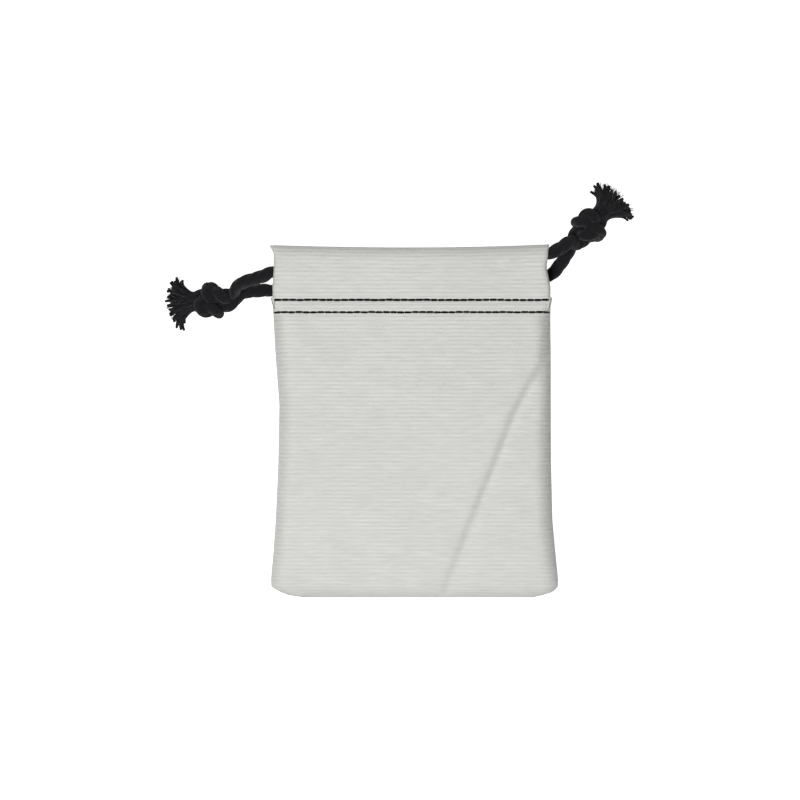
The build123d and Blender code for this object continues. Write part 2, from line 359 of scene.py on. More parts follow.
class Recipe:
    """A material's nodes, and the one way that a node is added."""

    def __init__(self, name):
        self.material = bpy.data.materials.new(name)
        self.material.use_nodes = True
        self.tree = self.material.node_tree
        self.tree.nodes.clear()

    def add(self, kind, settings=None, inputs=None, output=0):
        node = self.tree.nodes.new(kind)
        for key, value in (settings or {}).items():
            if key == "stops":
                self.set_stops(node.color_ramp, value)
            else:
                setattr(node, key, value)
        for key, value in (inputs or {}).items():
            if isinstance(value, Wire):
                self.tree.links.new(value.socket, node.inputs[key])
            else:
                node.inputs[key].default_value = value
        return Wire(self, node.outputs[output]) if len(node.outputs) else None

    def set_stops(self, ramp, stops):
        while len(ramp.elements) < len(stops):
            ramp.elements.new(1.0)
        for element, (place, level) in zip(ramp.elements, stops):
            element.position = place
            element.color = (level, level, level, 1.0)

    def grain(self, vector, scales, detail=2.0):
        """Noise with its own number of grains to the metre along each axis."""
        stretched = self.add(
            "ShaderNodeMapping", {"vector_type": "POINT"}, {"Vector": vector, "Scale": scales}
        )
        return self.add(
            "ShaderNodeTexNoise", None, {"Vector": stretched, "Scale": 1.0, "Detail": detail}
        )

    def specks(self, noise, faint, full):
        """Specks where the noise rises from faint to full."""
        stops = [(0.0, 0.0), (faint, 0.0), (full, 1.0)]
        return self.add("ShaderNodeValToRGB", {"stops": stops}, {0: noise})

    def parts(self, vector):
        return [self.add("ShaderNodeSeparateXYZ", None, {0: vector}, index) for index in range(3)]

    def between(self, share, first, second):
        return self.add(
            "ShaderNodeMix",
            {"data_type": "RGBA", "clamp_factor": True},
            {0: share, 6: first, 7: second},
            2,
        )

    def bump(self, height, distance, strength=1.0):
        return self.add(
            "ShaderNodeBump", None, {"Height": height, "Distance": distance, "Strength": strength}
        )

    def finish(self, colour, roughness, normal, constants):
        shader = self.add(
            "ShaderNodeBsdfPrincipled",
            None,
            {"Base Color": colour, "Roughness": roughness, "Normal": normal, **constants},
        )
        self.add("ShaderNodeOutputMaterial", None, {"Surface": shader})
        return self.material


def shade(colour, level):
    """A colour made lighter or darker, with full alpha."""
    return tuple(min(channel * level, 1.0) for channel in colour) + (1.0,)


def canvas_material(cloth, name, coordinates):
    """Ribbed cotton canvas: slubby weft ribs crossed by fine warp yarns, with painted shade in
    their grooves.
    """
    recipe = Recipe(name)
    across, along, _ = recipe.parts(coordinates(recipe))
    flat = recipe.add("ShaderNodeCombineXYZ", None, {0: across, 1: along})
    wander = recipe.grain(flat, (60.0, 200.0, 1.0)) - 0.5
    rib_place = (along + wander * (0.5 * cloth.rib_pitch)) / cloth.rib_pitch
    rib_side = (rib_place.part() - 0.5) * 2.0
    rib = 1.0 - rib_side * rib_side
    shift = rib_place.whole() * 0.5
    yarn_side = ((across / cloth.yarn_pitch + shift).part() - 0.5) * 2.0
    yarn = 1.0 - yarn_side * yarn_side
    slub = recipe.grain(flat, (95.0, 690.0, 1.0), 3.0)
    fibre = recipe.grain(flat, (900.0, 2600.0, 1.0))
    cloud = recipe.grain(flat, (28.0, 28.0, 1.0), 3.0)
    patch = recipe.grain(flat, (75.0, 140.0, 1.0))
    streak = recipe.grain(flat, (170.0, 1500.0, 1.0))
    fleck = recipe.specks(recipe.grain(flat, (420.0, 800.0, 1.0), 1.0), 0.735, 0.80)
    height = rib * (0.5 * slub + 0.45 * patch) + yarn * 0.3 + fibre * 0.25 + streak * 0.3
    # The colour follows the rib and warp yarn heights of the bump: lighter on their crests and
    # darker in the grooves between them, which is painted shade. The slub, streak, cloud and patch
    # noise is the canvas's own uneven colour.
    groove_shade_and_tone = rib * (0.5 * patch) + yarn * 0.06 + slub * 0.3 + streak * 0.7 + cloud * 0.2 - 0.29
    weave_tone_and_groove_shade = recipe.between(groove_shade_and_tone, shade(cloth.colour, 0.80), shade(cloth.colour, 1.14))
    red, green, blue = cloth.colour
    seed_husk = (red * 0.80, green * 0.76, blue * 0.70, 1.0)
    return recipe.finish(
        recipe.between(fleck * 0.5, weave_tone_and_groove_shade, seed_husk),
        0.86 + 0.10 * fibre,
        recipe.bump(height, 0.22 * MM, 0.9),
        {"Sheen Weight": 0.18, "Sheen Roughness": 0.5, "Specular IOR Level": 0.25},
    )


def cloth_map(recipe):
    """The cloth's own map, in metres along its threads."""
    return recipe.add("ShaderNodeUVMap", {"uv_map": "cloth"})


def object_place(recipe):
    """The place on the piece, in metres."""
    return recipe.add("ShaderNodeTexCoord", None, None, 3)


def straight_cord(recipe):
    """The place on the cord as if it were pulled straight, with its length along Z."""
    return recipe.add("ShaderNodeAttribute", {"attribute_name": "lay"}, None, 1)


def thread_material(name, colour, sheen):
    """Twisted sewing thread, with painted shade in the grooves of its twist."""
    recipe = Recipe(name)
    place = object_place(recipe)
    x, y, _ = recipe.parts(place)
    twist_pitch = 0.34 * MM
    twist = ((x + y * 1.6) * (2 * math.pi / twist_pitch)).sine()
    fibre = recipe.grain(place, (4000.0, 4000.0, 4000.0))
    # The twist term is also in the bump: the colour is lighter on the twist's ridges and darker in
    # its grooves, which is painted shade; the fibre noise is the thread's own uneven colour.
    groove_shade_and_tone = twist * 0.25 + fibre * 0.5 + 0.1
    return recipe.finish(
        recipe.between(groove_shade_and_tone, shade(colour, 0.7), shade(colour, 1.4)),
        0.55 + 0.2 * fibre,
        recipe.bump(twist * 0.5 + fibre * 0.5, 0.05 * MM),
        {"Sheen Weight": sheen, "Specular IOR Level": 0.15},
    )


def cord_material(cord, name, coordinates):
    """Soft charcoal-black cotton: fine yarns twisted round each ply, with loose fibres and painted
    shade between the yarns.
    """
    recipe = Recipe(name)
    place = coordinates(recipe)
    x, y, along = recipe.parts(place)
    angle = recipe.add("ShaderNodeMath", {"operation": "ARCTAN2"}, {0: y, 1: x})
    turns = along * (2 * math.pi / cord.lay_length)
    yarns = (angle * 15.0 + turns * 30.0).sine()
    fibre = recipe.grain(place, (2400.0, 2400.0, 800.0), 3.0)
    patch = recipe.grain(place, (320.0, 320.0, 260.0))
    lint = recipe.specks(recipe.grain(place, (1800.0, 1800.0, 420.0)), 0.62, 0.75)
    # The yarn term is also in the bump: the colour is lighter on the yarns and darker in the
    # grooves between them, which is painted shade; the fibre and patch noise is the cord's own
    # uneven colour, and spun carries both.
    groove_shade_and_tone = yarns * 0.18 + fibre * 0.55 + patch * 0.3 - 0.05
    spun = recipe.between(groove_shade_and_tone, shade(cord.colour, 0.42), shade(cord.colour, 1.75))
    return recipe.finish(
        recipe.between(lint * 0.45, spun, shade(cord.colour, 3.2)),
        0.82 + 0.14 * fibre,
        recipe.bump(yarns * 0.4 + fibre * 0.9, 0.16 * MM, 0.9),
        {"Sheen Weight": 0.10, "Sheen Roughness": 0.45, "Specular IOR Level": 0.18},
    )


def cord_finish(cord, name, coordinates):
    """The cord's material of this name, made the first time that it is asked for."""
    return bpy.data.materials.get(name) or cord_material(cord, name, coordinates)


# ======================================================================
# The shape of the cloth
# ======================================================================
def edge_at(y, side):
    """The left (-1) or right (1) edge of the pouch at a place up its length."""
    column = 1 if side < 0 else 2
    return np.interp(y, [row[0] for row in OUTLINE], [row[column] for row in OUTLINE])


def swollen_height(y):
    """The level of the front over the floor, which swells from the bottom seam."""
    share = np.clip((y - FOOT_Y) / SWELL_LENGTH, 0.0, 1.0)
    return TOE_HEIGHT + (TOP_LEVEL - TOE_HEIGHT) * np.sqrt(1 - (1 - share) ** 2)


def eased(value, low, high):
    """A smooth step from 0 at low to 1 at high."""
    share = np.clip((value - low) / (high - low), 0.0, 1.0)
    return share * share * (3 - 2 * share)


def rounding(distance, roll):
    """The height of a rounded edge, as a share, at a distance in from it."""
    share = np.clip(distance / roll, 0.0, 1.0)
    return np.sqrt(1 - (1 - share) ** 2)


def bump_over(value, middle, width):
    """A smooth hump that is 1 at the middle."""
    return np.exp(-(((value - middle) / width) ** 2))


FAR_SIDE = 2.2  # a fold's far side is this many times as wide as its near one

# Folds pressed into the front: points in millimetres, depth, half width, ridge beside it,
# and where along the fold it is deepest, as a share, with how far that reaches.
FOLDS = [
    ([(50, 35), (47.3, 21.8), (42.2, 12.9), (36.4, 1.7), (28.4, -18.9), (20.5, -38.4),
      (11.5, -62)], 2.5, 2.0, 0.0, 0.33, 0.75),
    ([(-21, -36), (-31, -46), (-41, -56)], 0.5, 3.0, 0.25, 0.5, 0.5),
    ([(-39, 39), (-36, 33), (-33, 24)], 0.45, 3.6, 0.2, 0.3, 0.5),
    ([(-21, -60), (-16, -55), (-12, -46)], 0.4, 3.6, 0.15, 0.3, 0.5),
    ([(24, -61), (19, -55), (17, -47)], 0.4, 3.4, 0.15, 0.3, 0.5),
    ([(-47, 10), (-40, 7), (-30, 6)], 0.3, 3.2, 0.15, 0.2, 0.5),
    ([(-8, 38), (-10, 28), (-15, 17)], 0.28, 4.2, 0.12, 0.1, 0.5),
    ([(22, 38), (20, 30), (21, 20)], 0.25, 4.0, 0.1, 0.1, 0.5),
]


def fold_drop(x, y, points, depth, width, ridge, deepest, reach):
    """How far one fold moves the cloth, in metres: down in its line, up beside it."""
    corners = np.array(points, float) * MM
    steps = np.diff(corners, axis=0)
    lengths = np.linalg.norm(steps, axis=1)
    before = np.concatenate([[0.0], np.cumsum(lengths)])
    nearest = np.full(x.shape, np.inf)
    offset = np.zeros(x.shape)
    share = np.zeros(x.shape)
    for corner, step, length, start in zip(corners, steps, lengths, before):
        away_x = x - corner[0]
        away_y = y - corner[1]
        t = np.clip((away_x * step[0] + away_y * step[1]) / length**2, 0.0, 1.0)
        gap = np.hypot(away_x - t * step[0], away_y - t * step[1])
        closer = gap < nearest
        turn = np.sign(away_x * step[1] - away_y * step[0])
        nearest = np.where(closer, gap, nearest)
        offset = np.where(closer, gap * turn, offset)
        share = np.where(closer, (start + t * length) / before[-1], share)
    strength = bump_over(share, deepest, reach)
    half = width * MM
    valley = -bump_over(offset, 0.0, np.where(offset < 0, FAR_SIDE * half, half))
    crest = ridge * bump_over(offset, -1.9 * half, 1.3 * half)
    return depth * MM * strength * (valley + crest)


def gentle_waves(x, y, size, height, seed):
    """Slow uneven waves in cloth that lies loose."""
    waves = np.zeros(x.shape)
    for index in np.ndindex(x.shape):
        place = Vector((x[index] / size, y[index] / size, seed))
        waves[index] = noise.noise(place)
    return waves * height


def stitch_dents(x, y):
    """Dents along the stitch rows, deepest between one stitch and the next."""
    dents = np.zeros(x.shape)
    for row in (UPPER_ROW, LOWER_ROW):
        pull = 0.75 + 0.25 * np.cos(2 * math.pi * x / STITCH_PITCH)
        dents += STITCH_PULL[0] * bump_over(y, row, STITCH_PULL[1]) * pull
        dents += ROW_PULL[0] * bump_over(y, row, ROW_PULL[1])
    return dents


def front_edges(x, y, cloth):
    """How high the front's rounded edges let it stand, as a share."""
    roll = cloth.front_roll * (1 - 0.75 * eased(y, SLIT_Y - EDGE_LENGTH, SLIT_Y))
    left = rounding(x - edge_at(y, -1), roll)
    right = rounding(edge_at(y, 1) - x, roll)
    toe = rounding(y - FOOT_Y, cloth.toe_roll)
    return left * right * toe


def front_relief(x, y):
    """Folds, waves, cords and dents of the front, as a height to add."""
    relief = sum(fold_drop(x, y, *fold) for fold in FOLDS)
    for waves in FRONT_WAVES:
        relief = relief + gentle_waves(x, y, *waves)
    quiet = 1 - 0.75 * eased(y, LOWER_ROW - 4 * MM, LOWER_ROW)
    cords = sum(bump_over(y, lane, width) for lane, width in zip(LANES, LANE_WIDTHS))
    sunk = CASING_SINK * eased(y, LOWER_ROW, UPPER_ROW)
    return relief * quiet + LANE_HEIGHT * cords - sunk - stitch_dents(x, y)


def front_level(x, y, cloth):
    """The height of the front's outer face."""
    share = front_edges(x, y, cloth)
    casing = eased(y, SLIT_Y - OPENING_LENGTH, SLIT_Y)
    droop = CASING_DROOP * (1 - share) * casing
    share = share * (1 - casing) + casing
    swell = (swollen_height(y) - SEAM_LEVEL) * share
    return SEAM_LEVEL + swell + front_relief(x, y) * share - droop


def back_level(x, y, cloth):
    """The height of the back's outer face, which lies on the floor."""
    left = rounding(x - edge_at(y, -1), cloth.back_roll)
    right = rounding(edge_at(y, 1) - x, cloth.back_roll)
    toe = rounding(y - FOOT_Y, cloth.back_roll)
    casing = eased(y, SLIT_Y - BACK_OPENING_LENGTH, SLIT_Y)
    share = left * right * toe
    share = share * (1 - casing) + casing
    lift = (BACK_REST + gentle_waves(x, y, *BACK_WAVES)).clip(0.0, None)
    return BACK_SEAM_LEVEL * (1 - share) + (lift + 0.6 * stitch_dents(x, y)) * share


def mouth_bow(x, y):
    """How far the mouth's edge dips towards its middle, and a little at its left."""
    near = eased(y, SLIT_Y, MOUTH_Y)
    middle = 1 - np.clip(np.abs(x - MOUTH_MIDDLE) / MOUTH_HALF, 0.0, 1.0) ** 2
    return -near * (MOUTH_DIP * middle + LEFT_DIP * (x < 0) * (1 - middle))


def spaced(low, high, step):
    """Evenly spaced values from low up to, and not including, high."""
    count = max(1, round((high - low) / step))
    return np.linspace(low, high, count, endpoint=False)


def rows_up(cloth, roll):
    """Places up the cloth for the rows of its mesh, closer at its stitching and its toe."""
    reach = 4 * FINE_CELL
    toe = roll * (1 - np.cos(np.linspace(0, math.pi / 2, WALL_STEPS)[:-1]))
    return np.concatenate([
        FOOT_Y + toe,
        spaced(FOOT_Y + roll, LOWER_ROW - reach, cloth.cell),
        spaced(LOWER_ROW - reach, LOWER_ROW + reach, FINE_CELL),
        spaced(LOWER_ROW + reach, UPPER_ROW - reach, cloth.cell),
        spaced(UPPER_ROW - reach, UPPER_ROW + reach, FINE_CELL),
        spaced(UPPER_ROW + reach, MOUTH_Y - FOLD_REACH, cloth.cell),
    ])


def column_places(y, roll, inner):
    """How far to the right each column of a panel lies, at one place up the cloth."""
    left, right = float(edge_at(y, -1)), float(edge_at(y, 1))
    wall = 1 - np.cos(np.linspace(0, math.pi / 2, WALL_STEPS + 1))
    steps = np.arange(len(wall))
    past_slit = np.clip((steps - OPEN_COLUMN) / (WALL_STEPS - OPEN_COLUMN), 0, 1)
    opened = np.where(steps < OPEN_COLUMN, wall, past_slit)
    casing = float(eased(y, SLIT_Y - OPENING_LENGTH, SLIT_Y))
    reach = (1 - casing) * wall + casing * opened
    return np.concatenate([
        left + roll * reach,
        left + roll + inner * (right - left - 2 * roll),
        (right - roll * reach)[::-1],
    ])


def turned_row(last, base, angle, fold_levels):
    """One row of a panel's mouth, from its face at angle 0 to its inside at half a turn."""
    middle, inside = fold_levels
    start = MOUTH_Y - FOLD_REACH
    outer_half = angle <= math.pi / 2
    width = FOLD_REACH if outer_half else INNER_FOLD_REACH
    y = np.full(last.shape, MOUTH_Y - width + width * math.sin(angle))
    share = (last - last[0]) / (last[-1] - last[0])
    x = edge_at(y, -1) + share * (edge_at(y, 1) - edge_at(y, -1))
    if outer_half:
        z = middle + (base - middle) * abs(math.cos(angle)) ** FOLD_FULLNESS
    else:
        z = np.full(last.shape, middle + (middle - inside) * math.cos(angle))
    return np.stack([x, y + mouth_bow(x, np.maximum(y, start)), z], 1)


def sheet_places(cloth, level, roll, fold_levels):
    """Where each column and row of a panel lies, from its seam over its face to its turned edge."""
    rows = rows_up(cloth, roll)
    flat_columns = round((edge_at(0.0, 1) - edge_at(0.0, -1) - 2 * roll) / cloth.cell)
    inner = np.linspace(0.0, 1.0, flat_columns + 1)[1:-1]
    face = []
    for y in rows:
        x = column_places(y, roll, inner)
        line = np.full(x.shape, y)
        face.append(np.stack([x, line + mouth_bow(x, line), level(x, line, cloth)], 1))
    last = face[-1][:, 0]
    base = level(last, np.full(last.shape, MOUTH_Y - FOLD_REACH), cloth)
    turned = [
        turned_row(last, base, angle, fold_levels)
        for angle in np.linspace(0, math.pi, FOLD_STEPS + 1)
    ]
    return np.stack(face + turned, 1)


def path_lengths(points):
    """Lengths along a line of points, from its start."""
    steps = np.linalg.norm(np.diff(points, axis=0), axis=1)
    return np.concatenate([[0.0], np.cumsum(steps)])


def woven_grid(name, places, outward):
    """A grid mesh with its corners at the given places and a map in metres of cloth."""
    columns, rows = places.shape[:2]
    across = path_lengths(places[:, rows // 2])
    along = path_lengths(places[columns // 2])
    bm = bmesh.new()
    bmesh.ops.create_grid(bm, x_segments=columns - 1, y_segments=rows - 1, size=1.0)
    cloth_uv = bm.loops.layers.uv.new("cloth")
    corner = {}
    for vertex in bm.verts:
        column = round((vertex.co.x + 1) / 2 * (columns - 1))
        row = round((vertex.co.y + 1) / 2 * (rows - 1))
        corner[vertex] = (column, row)
        vertex.co = Vector(places[column, row])
    for face in bm.faces:
        for loop in face.loops:
            column, row = corner[loop.vert]
            loop[cloth_uv].uv = (across[column], along[row])
    slit_row = int(np.searchsorted(places[columns // 2, :, 1], SLIT_Y)) if outward else rows
    hidden = [
        face
        for face in bm.faces
        if min(corner[v][1] for v in face.verts) >= slit_row
        and (
            min(corner[v][0] for v in face.verts) < OPEN_COLUMN
            or max(corner[v][0] for v in face.verts) > columns - 1 - OPEN_COLUMN
        )
    ]
    bmesh.ops.delete(bm, geom=hidden, context="FACES")
    if outward < 0:
        bmesh.ops.reverse_faces(bm, faces=bm.faces)
    return bm, float(across[-1]), float(along[-1])


def new_piece(name, bm, material, smooth=True):
    """An object with this mesh at the origin."""
    mesh = bpy.data.meshes.new(name)
    bm.to_mesh(mesh)
    bm.free()
    piece = bpy.data.objects.new(name, mesh)
    bpy.context.scene.collection.objects.link(piece)
    mesh.materials.append(material)
    for polygon in mesh.polygons:
        polygon.use_smooth = smooth
    return piece


def settle(piece):
    """Make the piece's modifiers part of its mesh."""
    depsgraph = bpy.context.evaluated_depsgraph_get()
    mesh = bpy.data.meshes.new_from_object(
        piece.evaluated_get(depsgraph), preserve_all_data_layers=True, depsgraph=depsgraph
    )
    piece.modifiers.clear()
    piece.data = mesh
    mesh.name = piece.name
    return piece


def thicken(piece, thickness):
    """Give a sheet its thickness on the inside."""
    solid = piece.modifiers.new("thickness", "SOLIDIFY")
    solid.thickness = thickness
    solid.offset = -1.0
    solid.use_rim = True
    return settle(piece)


def cloth_piece(name, places, outward, cloth, material):
    """A panel of cloth with its thickness, and the size that it was cut to."""
    bm, width, length = woven_grid(name, places, outward)
    piece = thicken(new_piece(name, bm, material), cloth.thickness)
    return piece, (width, length)


# ======================================================================
# Cords
# ======================================================================
def loose_trefoil(contact):
    """The middle line of a long, loose trefoil along X, and the spacing of its points."""
    t = np.linspace(-2.05, 2.05, 4000)
    loose = np.stack([t**5 / 5 - 2 * t, t**3 - 3 * t, t**4 - 4 * t**2 + 2.0], 1)
    loose *= 0.8 * contact
    along = path_lengths(loose)
    at = np.linspace(0.0, along[-1], STRAND_POINTS)
    return np.stack([np.interp(at, along, loose[:, k]) for k in range(3)], 1), at[1]


def side_by_side(line, gap):
    """Two strands that follow a line together, one on each side of it."""
    tangents = np.gradient(line, axis=0)
    tangents /= np.linalg.norm(tangents, axis=1)[:, None]
    side = np.array([0.0, 1.0, 0.0])
    sides = np.zeros_like(line)
    for index, direction in enumerate(tangents):
        side = side - direction * (side @ direction)
        side /= np.linalg.norm(side)
        sides[index] = side
    return np.stack([line - sides * gap / 2, line + sides * gap / 2])


def even_out(strands, spacing):
    """Bring each point of the strands nearer to one spacing from its neighbour."""
    count = strands.shape[1]
    for first in (0, 1):
        last = first + 2 * ((count - first) // 2)
        ahead = strands[:, first:last:2]
        behind = strands[:, first + 1:last:2]
        gap = behind - ahead
        length = np.linalg.norm(gap, axis=2, keepdims=True)
        pull = gap * (0.5 * (1 - spacing / length))
        ahead += pull
        behind -= pull


def pushed_apart(strands, near, contact):
    """The strands with points closer than a contact width moved apart, except near ones."""
    places = strands.reshape(-1, 3)
    gap = places[:, None] - places[None]
    length = np.sqrt((gap * gap).sum(2)) + 1e-12
    push = np.where(near | (length > contact), 0.0, (contact - length) / length)
    move = (gap * push[..., None]).sum(1) * PUSH_SHARE
    most = LARGEST_PUSH * contact
    return strands + move.clip(-most, most).reshape(strands.shape)


def tied_strands(contact):
    """Centrelines of two cord ends tied together in one overhand knot, pulled along X.

    Both strands start on the line of a long trefoil, side by side. The line is then drawn
    shorter, a little each round, while strands that touch are held one contact width apart.
    """
    line, spacing = loose_trefoil(contact)
    strands = side_by_side(line, contact)
    strand, place = np.divmod(np.arange(2 * STRAND_POINTS), STRAND_POINTS)
    same = strand[:, None] == strand[None]
    apart = np.abs(place[:, None] - place[None])
    for _ in range(TIGHTENING_ROUNDS):
        spacing *= LENGTH_KEPT
        near = same & (apart * spacing < NEAR_ALONG * contact)
        strands[:, 0, 0] -= END_PULL * contact
        strands[:, -1, 0] += END_PULL * contact
        strands[:, (0, -1), 1:] *= END_CENTRING
        middles = 0.5 * (strands[:, :-2] + strands[:, 2:])
        strands[:, 1:-1] += SMOOTHING * (middles - strands[:, 1:-1])
        for _ in range(SETTLING_STEPS):
            even_out(strands, spacing)
            strands = pushed_apart(strands, near, contact)
    return strands


def placed_knot(side, contact):
    """The two tied strands at one side of the pouch: the front one, then the back one."""
    strands = tied_strands(contact)
    body = strands[:, STRAND_ENDS:-STRAND_ENDS].reshape(-1, 3)
    spread = np.cov(body[:, 1:].T)
    broad = np.linalg.eigh(spread)[1][:, 1]
    roll = -math.atan2(broad[1], broad[0])
    turned = Matrix.Rotation(roll, 3, "X")
    heading = Matrix.Rotation(HEADINGS[side], 3, "Z")
    points = strands.reshape(-1, 3) @ np.array(turned).T
    body = body @ np.array(turned).T
    points -= (body.min(0) + body.max(0)) / 2
    points[:, 0] *= KNOT_SHORTNESS[side]
    points[:, 1] *= KNOT_NARROWNESS
    points[:, 2] *= KNOT_FLATNESS
    points[:, 2] += contact / 2 + KNOT_REST - points[:, 2].min()
    points = points @ np.array(heading).T
    points[:, :2] += np.array(KNOT_CENTRES[side][:2]) * MM
    strands = points.reshape(strands.shape)
    route_end = np.array(ROUTES[f"{side}_cord_front_tail"][-1]) * MM
    entries = [strand[knot_entry(side, strand)] for strand in strands]
    if np.linalg.norm(entries[0] - route_end) > np.linalg.norm(entries[1] - route_end):
        strands = strands[::-1]
    return strands


def knot_entry(side, strand):
    """Where a tied strand first comes within the knot's reach."""
    along = (strand[:, :2] - np.array(KNOT_CENTRES[side][:2]) * MM) @ np.array(
        (math.cos(HEADINGS[side]), math.sin(HEADINGS[side]))
    )
    return int(np.argmax(along > -KNOT_REACH))


def nurbs_line(name, points):
    """The smooth line of a cord: points along one open NURBS spline."""
    curve = bpy.data.curves.new(name, "CURVE")
    curve.dimensions = "3D"
    curve.resolution_u = 8
    spline = curve.splines.new("NURBS")
    spline.points.add(len(points) - 1)
    for control, place in zip(spline.points, points):
        control.co = (*place, 1.0)
    spline.order_u = 3
    spline.use_endpoint_u = True
    holder = bpy.data.objects.new(name, curve)
    mesh = bpy.data.meshes.new_from_object(holder)
    line = np.array([vertex.co for vertex in mesh.vertices])
    bpy.data.meshes.remove(mesh)
    bpy.data.objects.remove(holder)
    bpy.data.curves.remove(curve)
    return line


def evenly_along(line, step):
    """Points spaced evenly along a line, with the lengths at which they lie."""
    along = path_lengths(line)
    count = max(4, round(along[-1] / step))
    at = np.linspace(0.0, along[-1], count + 1)
    return np.stack([np.interp(at, along, line[:, k]) for k in range(3)], 1), at


def lobed_ring(bm, plies):
    """A ring round several plies: its vertices, its edges, and each vertex's place and angle."""
    ring = bmesh.ops.create_circle(
        bm, cap_ends=False, radius=1.0, segments=PLY_POINTS * plies
    )["verts"]
    shape = []
    for vertex in ring:
        angle = math.atan2(vertex.co.y, vertex.co.x)
        bulge = abs(math.cos(plies * angle / 2)) ** PLY_ROUNDNESS
        vertex.co *= (1 - GROOVE) + GROOVE * bulge
        shape.append((vertex.co.copy(), angle))
    edges = list({edge for vertex in ring for edge in vertex.link_edges})
    return ring, edges, shape


def follow(vertex, fresh):
    """The vertex of a new ring that was pushed out from this one."""
    for edge in vertex.link_edges:
        other = edge.other_vert(vertex)
        if other in fresh:
            return other
    raise RuntimeError("a ring of the cord came apart")


def next_ring(bm, ring, edges):
    """Push a ring out into a new one, whose vertices come in the same order."""
    grown = bmesh.ops.extrude_edge_only(bm, edges=edges)["geom"]
    fresh = {item for item in grown if isinstance(item, bmesh.types.BMVert)}
    edges = [
        item for item in grown
        if isinstance(item, bmesh.types.BMEdge) and fresh.issuperset(item.verts)
    ]
    return [follow(vertex, fresh) for vertex in ring], edges


def close_end(bm, ring, lay):
    """Close a tube's end with triangles that meet in its middle."""
    middle = bm.verts.new(sum((vertex.co for vertex in ring), Vector()) / len(ring))
    middle[lay] = (0.0, 0.0, ring[0][lay][2])
    around = set(ring)
    rim = {
        edge for vertex in ring for edge in vertex.link_edges if around.issuperset(edge.verts)
    }
    for edge in rim:
        bm.faces.new((*edge.verts, middle))


def twisted_tube(bm, line, radii, cord, start_turn=0.0, step=0.5 * MM):
    """Twisted plies along a line: one lobed ring, pushed on from place to place."""
    places, at = evenly_along(line, step)
    sizes = np.interp(at / at[-1], np.linspace(0, 1, len(radii)), radii)
    lay = bm.verts.layers.float_vector.new("lay")
    ring, edges, shape = lobed_ring(bm, cord.plies)
    tangents = np.gradient(places, axis=0)
    up = Vector((0.0, 0.0, 1.0))
    rings = []
    for index, (place, along, size, tangent) in enumerate(zip(places, at, sizes, tangents)):
        forward = Vector(tangent).normalized()
        up = (up - forward * up.dot(forward)).normalized()
        across = forward.cross(up)
        if index:
            ring, edges = next_ring(bm, ring, edges)
        turn = start_turn + 2 * math.pi * along / cord.lay_length
        twist = Matrix.Rotation(turn, 3, "Z")
        for vertex, (flat, angle) in zip(ring, shape):
            spun = twist @ flat
            vertex.co = Vector(place) + (across * spun.x + up * spun.y) * size
            straight = angle + turn
            vertex[lay] = (math.cos(straight) * size, math.sin(straight) * size, along)
        rings.append(ring)
    close_end(bm, rings[0], lay)
    close_end(bm, rings[-1], lay)
    return places


def tube_piece(name, line, radii, cord, material, start_turn=0.0):
    """A length of twisted cord as its own piece, and the points that it follows."""
    bm = bmesh.new()
    places = twisted_tube(bm, line, radii, cord, start_turn)
    bmesh.ops.recalc_face_normals(bm, faces=bm.faces)
    return new_piece(name, bm, material), places


def cord_bodies(side):
    """Bodies of one cord: its back run, its knotted tail and its front run."""
    return f"{side}_cord_back", f"{side}_cord_tail", f"{side}_cord_front"


# ======================================================================
# Operators
# ======================================================================
class POUCH_OT_stage(bpy.types.Operator):
    """Make the floor, the light and the camera"""

    bl_idname = "treat_pouch.stage"
    bl_label = "Stage"

    def execute(self, context):
        stage = context.scene.treat_pouch.stage
        camera_data = bpy.data.cameras.new("camera")
        camera_data.lens = stage.lens
        camera_data.clip_start = 0.05
        camera_data.clip_end = 10.0
        camera = bpy.data.objects.new("camera", camera_data)
        camera.location = (*CAMERA_PLACE, stage.camera_height)
        context.scene.collection.objects.link(camera)
        context.scene.camera = camera
        self.add_floor(context)
        self.add_light(context, stage)
        context.scene.view_settings.view_transform = "Standard"
        return {"FINISHED"}

    def add_floor(self, context):
        recipe = Recipe("floor_white")
        seen = recipe.add("ShaderNodeLightPath")
        glow = recipe.between(seen, (0.3, 0.3, 0.3, 1.0), (1.0, 1.0, 1.0, 1.0))
        shader = recipe.add(
            "ShaderNodeBsdfPrincipled",
            None,
            {
                "Base Color": (0.5, 0.5, 0.5, 1.0), "Roughness": 0.95,
                "Emission Color": glow, "Emission Strength": 1.0,
            },
        )
        recipe.add("ShaderNodeOutputMaterial", None, {"Surface": shader})
        bm = bmesh.new()
        bmesh.ops.create_grid(bm, x_segments=1, y_segments=1, size=3.0)
        bmesh.ops.translate(bm, verts=bm.verts, vec=(0.0, 0.0, -0.05 * MM))
        floor = new_piece("floor", bm, recipe.material, smooth=False)

    def add_light(self, context, stage):
        world = bpy.data.worlds.new("studio")
        world.use_nodes = True
        background = world.node_tree.nodes["Background"]
        background.inputs["Color"].default_value = (1.0, 1.0, 1.0, 1.0)
        background.inputs["Strength"].default_value = stage.sky
        context.scene.world = world
        for name, place, size, share in LAMPS:
            lamp_data = bpy.data.lights.new(name, "AREA")
            lamp_data.shape = "DISK"
            lamp_data.size = size
            lamp_data.energy = share * stage.key_power
            lamp = bpy.data.objects.new(name, lamp_data)
            lamp.location = place
            lamp.rotation_euler = (-Vector(place)).to_track_quat("-Z", "Y").to_euler()
            context.scene.collection.objects.link(lamp)


